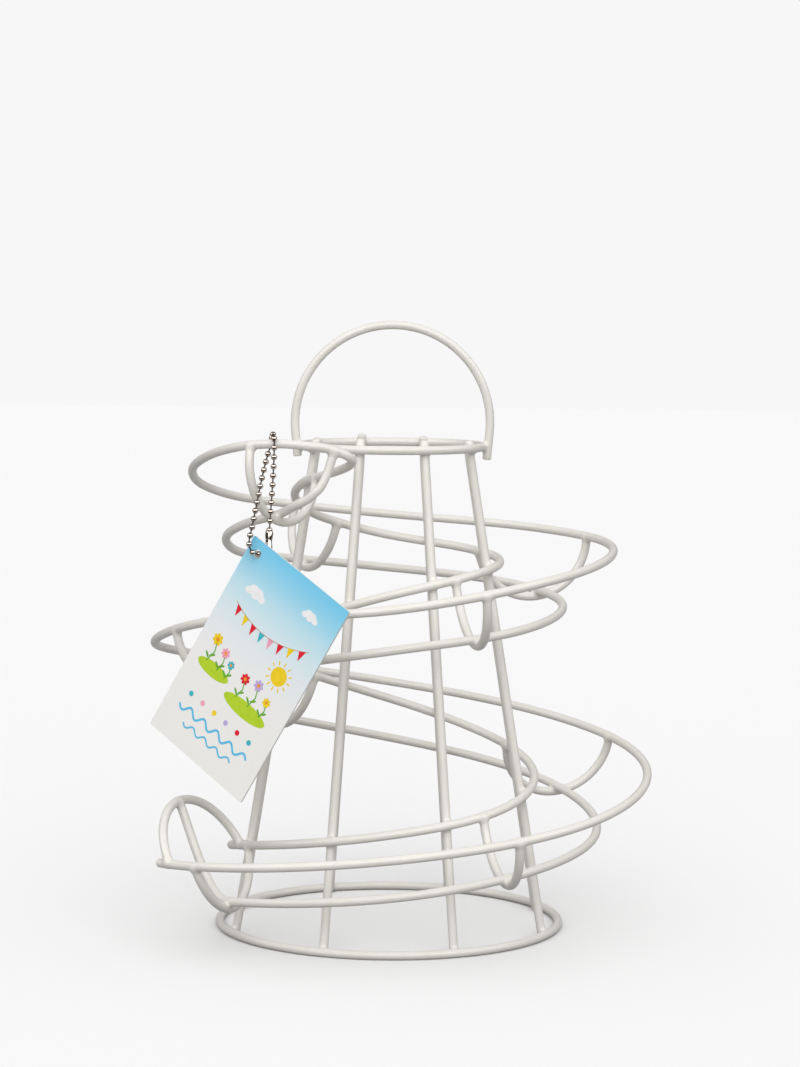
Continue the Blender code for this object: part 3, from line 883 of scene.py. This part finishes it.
def chain_route():
    """From the clasp through the tag's hole, up behind the rail, over it and back to the clasp."""
    low, top = clasp_ends()
    front = HOLE - ASIDE * STRAND_ASIDE + UP * STRAND_RISE + NORMAL * STRAND_FRONT
    rear_rail = RAIL - LOOP_OUT * LOOP_HALF
    front_rail = RAIL + LOOP_OUT * LOOP_HALF
    hang = (top - low).normalized()
    behind = HOLE - NORMAL * (BEAD_DIAMETER / 2 + TAG_THICKNESS)
    ahead = HOLE + NORMAL * (BEAD_DIAMETER / 2 + TAG_THICKNESS)
    points = [low - hang * SEAT_GAP]
    lower = points[0] - hang * BEAD_PITCH
    points += bezier(points[0], lower, behind - NORMAL * BEAD_DIAMETER, behind, BEND_STEPS)
    points += [ahead]
    rise = (rear_rail - front).normalized()
    points += bezier(ahead, ahead + NORMAL * BEAD_DIAMETER,
                     front - rise * BEAD_PITCH, front, BEND_STEPS)
    bowed = rear_rail - rise * (3 * BEAD_PITCH) - Vector((STRAND_BOW, 0, 0))
    points += bezier(front, front + rise * (4 * BEAD_PITCH), bowed, rear_rail)
    for index in range(1, LOOP_STEPS + 1):
        turn = math.pi * index / LOOP_STEPS
        out = LOOP_OUT * (LOOP_HALF * math.cos(turn))
        points.append(RAIL - out + UP * (CHAIN_LOOP * math.sin(turn)))
    points += bezier(front_rail, front_rail - UP * (3 * BEAD_PITCH),
                     top + hang * (3 * BEAD_PITCH), top + hang * SEAT_GAP)
    return points


def lathe(profile, place, way, sides):
    """A turned body: profile is (distance along, radius) from one end to the other."""
    way = Vector(way).normalized()
    side = way.cross(UP)
    if side.length < 0.1:
        side = way.cross(Vector((1, 0, 0)))
    side.normalize()
    other = way.cross(side)
    verts = []
    for along, radius in profile:
        middle = Vector(place) + way * along
        for cos, sin in full_turn(sides):
            verts.append(middle + side * (radius * cos) + other * (radius * sin))
    return verts, tube_faces(len(profile), sides)


def bead_profile():
    """Half circle with a small dimple at each end, where the link goes in."""
    radius = BEAD_DIAMETER / 2
    mouth = LINK_NECK * 0.8
    edge = math.asin(mouth / radius)
    profile = [(-radius * 0.80, mouth * 0.9)]
    for index in range(15):
        turn = edge + (math.pi - 2 * edge) * index / 14
        profile.append((-radius * math.cos(turn), radius * math.sin(turn)))
    profile.append((radius * 0.80, mouth * 0.9))
    return profile


def make_chain():
    route = even([point + AXIS for point in chain_route()], ROUTE_STEP)
    total = ROUTE_STEP * (len(route) - 1)
    pitch = (len(route) - 1) / max(2, round(total / BEAD_PITCH))
    # One ball lies at the top of the loop, and the others follow from it.
    crest = max(range(len(route)), key=lambda index: route[index][2])
    middles = np.arange(crest % pitch, len(route) - 1, pitch).astype(int)
    profile = bead_profile()
    verts = []
    faces = []
    reach = int(0.0011 / ROUTE_STEP)
    for middle in middles:
        low = max(0, middle - reach)
        high = min(len(route) - 1, middle + reach)
        bead = lathe(profile, route[middle], route[high] - route[low], BEAD_SIDES)
        add_shell(verts, faces, *bead)
    beads = len(faces)
    thin = route[::LINK_STRIDE]
    add_shell(verts, faces, *sweep(thin, np.full(len(thin), LINK_NECK / 2), LINK_SIDES))
    item = new_object("ball_chain_beads", verts, faces, nickel)
    # The links between the balls take the dark metal: painted shade in the gaps between the balls.
    item.data.materials.append(painted_shade_metal)
    for face in item.data.polygons[beads:]:
        face.material_index = 1
    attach(item, "chain")
    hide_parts("ball_chain")


CLASP_PROFILE = (
    (0.0, 0.62), (0.0, 0.86), (0.03, 0.95), (0.08, 1.0), (0.2, 1.0), (0.3, 0.97), (0.42, 0.84),
    (0.5, 0.8), (0.58, 0.84), (0.7, 0.97), (0.8, 1.0), (0.92, 1.0), (0.97, 0.95), (1.0, 0.86),
    (1.0, 0.62),
)


def make_clasp():
    """Rolled sheet connector: a waisted tube with flared mouths, and a dark strip along its side as
    painted shade inside its slot.
    """
    low, top = (end + AXIS for end in clasp_ends())
    radius = CLASP_DIAMETER / 2
    profile = [(share * CLASP_LENGTH, wide * radius) for share, wide in CLASP_PROFILE]
    item = new_object("clasp_shell", *lathe(profile, low, top - low, CLASP_SIDES), nickel)
    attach(item, "chain")
    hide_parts("chain_clasp")
    way = (top - low).normalized()
    face = (NORMAL - way * NORMAL.dot(way)).normalized()
    side = way.cross(face)
    # A dark strip just off the shell, following its waist, is painted shade inside the slot.
    half_slot = radius * 0.42
    verts = []
    for along in np.linspace(0.1, 0.9, 9) * CLASP_LENGTH:
        depth = radius * (0.8 if abs(along / CLASP_LENGTH - 0.5) < 0.1 else 0.99)
        for across in (-half_slot, half_slot):
            verts.append(low + way * float(along) + side * across + face * (depth + 0.00003))
    faces = [(2 * i, 2 * i + 1, 2 * i + 3, 2 * i + 2) for i in range(8)]
    slot_shade = new_object("clasp_slot_painted_shade", verts, faces, painted_shade_metal)
    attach(slot_shade, "chain")


make_chain()
make_clasp()


# Tag
TAG_MATRIX = Matrix.Translation(HOLE + AXIS) @ Matrix((WIDE, HIGH, NORMAL)).transposed().to_4x4()
PRINT_STOPS = (
    (0.0, (127, 212, 248)), (0.05, (139, 217, 249)), (0.12, (166, 225, 248)),
    (0.2, (199, 236, 249)), (0.3, (223, 243, 249)), (0.42, (241, 246, 249)),
    (0.55, (249, 248, 246)), (1.0, (250, 248, 243)),
)

card = new_material("card_edge", linear(238, 236, 230), 0.6)
add_bump(card, 1800.0, 0.2, 0.00005)
vary_colour(card, 300.0, (235, 233, 227), (240, 238, 233))


def new_print(name, colour):
    """Printed card or ink with a faint grain."""
    material = new_material(name, linear(*colour), PRINT_ROUGHNESS)
    fill(shader_of(material), {"Specular IOR Level": PRINT_GLOSS})
    add_bump(material, 1600.0, 0.06, 0.00005)
    return material


def print_material():
    """Sky blue at the tag's top fading to warm white, in the tag's own coordinates."""
    material = new_print("card_print", (250, 248, 243))
    tree = material.node_tree
    high = add_place(tree, "Object")["Y"]
    down = add_span(tree, high, TAG_HOLE_INSET, TAG_HOLE_INSET - TAG_HEIGHT)
    stops = [(position, linear(*colour)) for position, colour in PRINT_STOPS]
    fill(shader_of(material), {"Base Color": add_ramp(tree, down, stops)})
    vary_roughness(material, 400.0, 0.40, 0.50)
    return material


def make_card():
    """The card with its round hole: printed face, pale cut edges and back."""
    top = TAG_HOLE_INSET
    left = -top
    right = TAG_WIDTH - top
    bottom = top - TAG_HEIGHT
    half = TAG_THICKNESS / 2
    radius = TAG_HOLE_DIAMETER / 2
    work = bmesh.new()
    outer = []
    for x, y, first in (
        (right, top, 0), (left, top, 90), (left, bottom, 180), (right, bottom, 270),
    ):
        x -= math.copysign(CARD_CORNER, x)
        y -= math.copysign(CARD_CORNER, y)
        for index in range(5):
            turn = math.radians(first + 90 * index / 4)
            place = (x + CARD_CORNER * math.cos(turn), y + CARD_CORNER * math.sin(turn), half)
            outer.append(work.verts.new(place))
    rim = [work.verts.new((radius * cos, radius * sin, half)) for cos, sin in full_turn(HOLE_SIDES)]
    edges = [work.edges.new(pair)
             for loop in (outer, rim) for pair in zip(loop, loop[1:] + loop[:1])]
    faces = bmesh.ops.triangle_fill(work, use_beauty=True, edges=edges)["geom"]
    faces = [f for f in faces if isinstance(f, bmesh.types.BMFace)]
    for face in faces:
        face.normal_update()
        if face.normal.z < 0:
            face.normal_flip()
    back = bmesh.ops.duplicate(work, geom=faces)["geom"]
    lower = [v for v in back if isinstance(v, bmesh.types.BMVert)]
    bmesh.ops.translate(work, verts=lower, vec=(0, 0, -TAG_THICKNESS))
    for face in back:
        if isinstance(face, bmesh.types.BMFace):
            face.normal_flip()
            face.material_index = 1
    below = {(round(v.co.x, 7), round(v.co.y, 7)): v for v in lower}
    for loop, sign in ((outer, 1), (rim, -1)):
        for a, b in zip(loop, loop[1:] + loop[:1]):
            c = below[(round(b.co.x, 7), round(b.co.y, 7))]
            d = below[(round(a.co.x, 7), round(a.co.y, 7))]
            wall = work.faces.new((a, d, c, b) if sign > 0 else (a, b, c, d))
            wall.material_index = 1
    mesh = bpy.data.meshes.new("tag_card")
    work.to_mesh(mesh)
    work.free()
    mesh.materials.append(print_material())
    mesh.materials.append(card)
    item = link_object("tag_card", mesh)
    item.matrix_world = TAG_MATRIX
    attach(item, "tag")
    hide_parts("hang_tag")


make_card()


class Print:
    """Flat shapes of one ink on the card. Places are in millimetres from the tag's top left."""

    def __init__(self, name, colour, layer):
        self.name = name
        self.colour = colour
        self.height = TAG_THICKNESS / 2 + INK_LAYER + INK_LAYER * layer
        self.verts = []
        self.faces = []

    def point(self, x, y):
        return (x / 1000 - TAG_HOLE_INSET, TAG_HOLE_INSET - y / 1000, self.height)

    def shape(self, points):
        """A shape at a slightly new height, so that two that lap over never lie in one plane."""
        lift = SHAPE_LIFT * (len(self.faces) % 5)
        places = [self.point(x, y) for x, y in points]
        self.add([(place[0], place[1], place[2] + lift) for place in places])

    def add(self, places):
        start = len(self.verts)
        self.verts += places
        self.faces.append(tuple(range(start, start + len(places))))

    def oval(self, x, y, half_x, half_y, turn=0.0, sides=28):
        cos = math.cos(math.radians(turn))
        sin = math.sin(math.radians(turn))
        points = []
        for along, up in full_turn(sides):
            a = half_x * along
            b = half_y * up
            points.append((x + a * cos - b * sin, y + a * sin + b * cos))
        self.shape(points)

    def ribbon(self, points, width):
        """A line of one width with round ends."""
        start = len(self.verts)
        count = len(points)
        side = []
        for index, (x, y) in enumerate(points):
            before = points[max(0, index - 1)]
            after = points[min(count - 1, index + 1)]
            length = math.hypot(after[0] - before[0], after[1] - before[1])
            nx = -(after[1] - before[1]) / length * width / 2
            ny = (after[0] - before[0]) / length * width / 2
            side.append((x + nx, y + ny))
            self.verts += [self.point(x + nx, y + ny), self.point(x - nx, y - ny)]
        for index in range(start, start + 2 * count - 2, 2):
            self.faces.append((index, index + 2, index + 3, index + 1))
        for (x, y), beside, (side_x, side_y) in ((points[0], points[1], side[0]),
                                                 (points[-1], points[-2], side[-1])):
            turn = math.atan2(side_y - y, side_x - x)
            probe = turn + 0.1
            outward = math.sin(probe) * (y - beside[1]) + math.cos(probe) * (x - beside[0])
            away = -1 if outward < 0 else 1
            angles = [turn + away * math.pi * index / 8 for index in range(9)]
            self.add([self.point(x + width / 2 * math.cos(angle), y + width / 2 * math.sin(angle))
                      for angle in angles])

    def make(self):
        material = new_print("ink_" + self.name, self.colour)
        vary_colour(material, 500.0, [max(0, value - 6) for value in self.colour], self.colour)
        item = new_object("print_" + self.name, self.verts, self.faces, material, False)
        mesh = item.data
        for face in mesh.polygons:
            if face.normal.z < 0:
                face.flip()
        mesh.update()
        item.matrix_world = TAG_MATRIX
        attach(item, "tag")


INKS = (
    ("cloud_white", (253, 253, 253), 0),
    ("hill_green", (191, 221, 53), 0),
    ("leaf_green", (113, 182, 62), 1),
    ("sun_yellow", (253, 218, 42), 1),
    ("orange", (253, 161, 49), 2),
    ("red", (234, 36, 57), 1),
    ("teal", (68, 193, 208), 1),
    ("pink", (253, 172, 200), 1),
    ("lilac", (202, 182, 232), 1),
    ("tan", (208, 172, 137), 1),
    ("blue", (100, 200, 241), 0),
)
inks = {row[0]: Print(*row) for row in INKS}


STRING_STEPS = 40
PETALS = 7
RAYS = 12
PUFFS = ((-1.5, 0.2, 0.8), (-0.6, -0.35, 1.05), (0.5, -0.2, 1.2), (1.55, 0.25, 0.8), (0, 0.35, 0.8))


def bunting(x0, y0, x1, y1, sag, count, colours):
    """A string of little flags between two points."""
    line = []
    for index in range(STRING_STEPS + 1):
        share = index / STRING_STEPS
        hang = 4 * sag * share * (1 - share)
        line.append((x0 + (x1 - x0) * share, y0 + (y1 - y0) * share + hang))
    inks["tan"].ribbon(line, 0.35)
    for index in range(count):
        middle = (index + 0.5) / count * STRING_STEPS
        low = line[int(middle - 1.2)]
        high = line[int(middle + 2.2)]
        tip = ((low[0] + high[0]) / 2, (low[1] + high[1]) / 2 + 4.6)
        inks[colours[index % len(colours)]].shape([low, tip, high])


def daisy(x, y, ink, size, stem):
    """A round-petalled flower on a stem with two leaves."""
    inks["leaf_green"].ribbon([(x, y), (x + 0.15 * stem, y + stem * 0.5), (x, y + stem)], 0.55)
    inks["leaf_green"].oval(x + 1.25, y + stem * 0.68, 1.6, 0.5, -38)
    inks["leaf_green"].oval(x - 1.15, y + stem * 0.78, 1.6, 0.5, 218)
    out = size * 0.62
    for index, (cos, sin) in enumerate(full_turn(PETALS)):
        turn = math.degrees(2 * math.pi * index / PETALS)
        inks[ink].oval(x + out * cos, y + out * sin, size * 0.42, size * 0.3, turn, 16)
    inks["orange"].oval(x, y, size * 0.34, size * 0.34, 0, 16)


def cloud(x, y, size):
    for dx, dy, radius in PUFFS:
        inks["cloud_white"].oval(x + dx * size, y + dy * size, radius * size, radius * size * 0.8)


def wave(x0, x1, y, height, count, width, ink):
    points = []
    steps = count * 16
    for index in range(steps + 1):
        share = index / steps
        points.append((x0 + (x1 - x0) * share, y + height * math.sin(2 * math.pi * count * share)))
    inks[ink].ribbon(points, width)


cloud(14.0, 19.0, 2.4)
cloud(41.5, 12.0, 1.9)
bunting(8.0, 26.5, 49.0, 24.0, 5.0, 8, ("red", "sun_yellow", "red", "teal", "pink"))
inks["sun_yellow"].oval(42.5, 40.0, 4.0, 4.0)
for cos, sin in full_turn(RAYS):
    ends = [(42.5 + reach * cos, 40.0 + reach * sin) for reach in (4.9, 6.2)]
    inks["sun_yellow"].ribbon(ends, 0.6)
inks["hill_green"].oval(14.0, 56.0, 9.0, 3.0)
inks["hill_green"].oval(36.0, 60.5, 12.0, 3.4)
daisy(9.0, 44.5, "sun_yellow", 2.6, 10.0)
daisy(15.5, 47.0, "pink", 2.2, 8.0)
daisy(20.5, 49.5, "teal", 1.8, 6.0)
daisy(29.5, 50.0, "red", 2.3, 8.5)
daisy(36.5, 48.5, "lilac", 2.4, 10.0)
daisy(43.5, 52.0, "sun_yellow", 2.0, 7.0)
for number, ink in enumerate(("teal", "pink", "sun_yellow", "lilac", "red", "teal")):
    inks[ink].oval(10.5 + 7.0 * number, 70.0, 1.15, 1.15)
wave(8.0, 48.0, 76.5, 1.5, 5, 1.0, "blue")
wave(14.0, 42.0, 82.0, 1.1, 4, 0.8, "blue")
for ink in inks.values():
    ink.make()


# Studio
def math_node(tree, operation, first, second):
    node = add_node(tree, "Math", {})
    node.operation = operation
    return fill(node, {0: first, 1: second}).outputs["Value"]


def is_seen(tree, path):
    """One where the camera looks straight at a surface, or at it through glass."""
    return math_node(tree, "MAXIMUM", path["Is Camera Ray"], path["Is Transmission Ray"])


def make_floor():
    mesh = bpy.data.meshes.new("studio_floor")
    reach = FLOOR_REACH
    corners = [(-reach, -reach, 0), (reach, -reach, 0), (reach, reach, 0), (-reach, reach, 0)]
    mesh.from_pydata(corners, [], [(0, 1, 2, 3)])
    item = link_object("studio_floor", mesh)
    item.location = (AXIS.x, AXIS.y, -FLOOR_DROP)
    material = new_material("studio_floor", (0.9, 0.9, 0.9), 0.9)
    tree = material.node_tree
    path = add_node(tree, "LightPath", {}).outputs
    # Shiny things mirror a lit table that ends in front of the rack, with a dark room beyond it.
    front = add_place(tree, "Object")["Y"]
    table = add_span(tree, front, -TABLE_REACH * 1.3, -TABLE_REACH, ROOM_TONE, TABLE_TONE)
    unseen = add_node(tree, "Mix", {0: path["Is Glossy Ray"], 2: FLOOR_BOUNCE, 3: table})
    tone = add_node(tree, "Mix", {0: is_seen(tree, path), 2: unseen.outputs[0], 3: FLOOR_TONE})
    fill(shader_of(material), {"Specular IOR Level": 0.0, "Base Color": tone.outputs[0]})
    mesh.materials.append(material)


def make_world():
    """Studio: light from above and the front, dim sides, and a plain pale background where seen."""
    world = bpy.data.worlds.new("studio")
    bpy.context.scene.world = world
    world.use_nodes = True
    # Shiny things mirror another world than the one that lights the rack, so rays that are aimed
    # by the world's brightness would only add grain.
    world.cycles.sampling_method = "NONE"
    tree = world.node_tree
    tree.nodes.clear()
    parts = add_place(tree, "Generated")
    high = math_node(tree, "MAXIMUM", parts["Z"], 0.0)
    front = math_node(tree, "MAXIMUM", math_node(tree, "MULTIPLY", parts["Y"], -1.0), 0.0)
    level = math_node(tree, "ADD", math_node(tree, "MULTIPLY", high, SKY_TOP), SKY_SIDES)
    level = math_node(tree, "ADD", level, math_node(tree, "MULTIPLY", front, SKY_FRONT))
    lit = add_node(tree, "Background", {"Color": (1.0, 1.0, 1.0, 1), "Strength": level})
    # What shiny things mirror: a bright soft box above the front, a dark room round the camera
    # and a dim backdrop.
    tones = ((0.0, ROOM_TONE), (0.22, ROOM_TONE), (0.32, SOFT_BOX),
             (0.66, SOFT_BOX), (0.80, REAR_TONE), (1.0, REAR_TONE))
    above = add_ramp(tree, high, [(position, (tone / SOFT_BOX,) * 3) for position, tone in tones])
    around = add_node(tree, "Mix", {})
    around.data_type = "RGBA"
    rear = (*(REAR_TONE / SOFT_BOX,) * 3, 1)
    fill(around, {"Factor": add_span(tree, parts["Y"], -0.15, 0.25), 6: above, 7: rear})
    mirrored = add_node(tree, "Background", {"Color": around.outputs[2], "Strength": SOFT_BOX})
    seen = add_node(tree, "Background", {"Color": (*linear(*BACKDROP), 1), "Strength": 1.0})
    path = add_node(tree, "LightPath", {}).outputs
    for share, other in ((path["Is Glossy Ray"], mirrored), (is_seen(tree, path), seen)):
        lit = add_node(tree, "MixShader", {"Fac": share, 1: lit.outputs[0], 2: other.outputs[0]})
    add_node(tree, "OutputWorld", {"Surface": lit.outputs[0]})


def make_sun(name, direction, strength, spread):
    data = bpy.data.lights.new(name, "SUN")
    data.energy = strength
    data.angle = math.radians(spread)
    item = link_object(name, data)
    item.visible_glossy = False
    item.rotation_euler = Vector(direction).to_track_quat("-Z", "Y").to_euler()


def make_camera():
    data = bpy.data.cameras.new("camera")
    data.sensor_fit = "VERTICAL"
    data.sensor_height = SENSOR_HEIGHT
    data.lens = CAMERA_LENS
    data.clip_start = 0.05
    data.clip_end = 20.0
    item = link_object("camera", data)
    cy, sy = math.cos(CAMERA_YAW), math.sin(CAMERA_YAW)
    cp, sp = math.cos(CAMERA_PITCH), math.sin(CAMERA_PITCH)
    cr, sr = math.cos(CAMERA_ROLL), math.sin(CAMERA_ROLL)
    right = Vector((cy, -sy, 0))
    ahead = Vector((sy, cy, 0))
    up = ahead * sp + UP * cp
    forward = ahead * cp - UP * sp
    turn = Matrix((right * cr - up * sr, right * sr + up * cr, -forward)).transposed().to_4x4()
    place = AXIS + Vector((0, -CAMERA_DISTANCE, CAMERA_HEIGHT))
    item.matrix_world = Matrix.Translation(place) @ turn
    bpy.context.scene.camera = item


make_floor()
make_world()
make_sun("key", (0.0, 1.0, -1.0), 0.95, 60)
make_sun("fill", (0.0, 1.0, 0.0), 0.9, 70)
make_camera()
bpy.context.scene.view_settings.view_transform = "Standard"
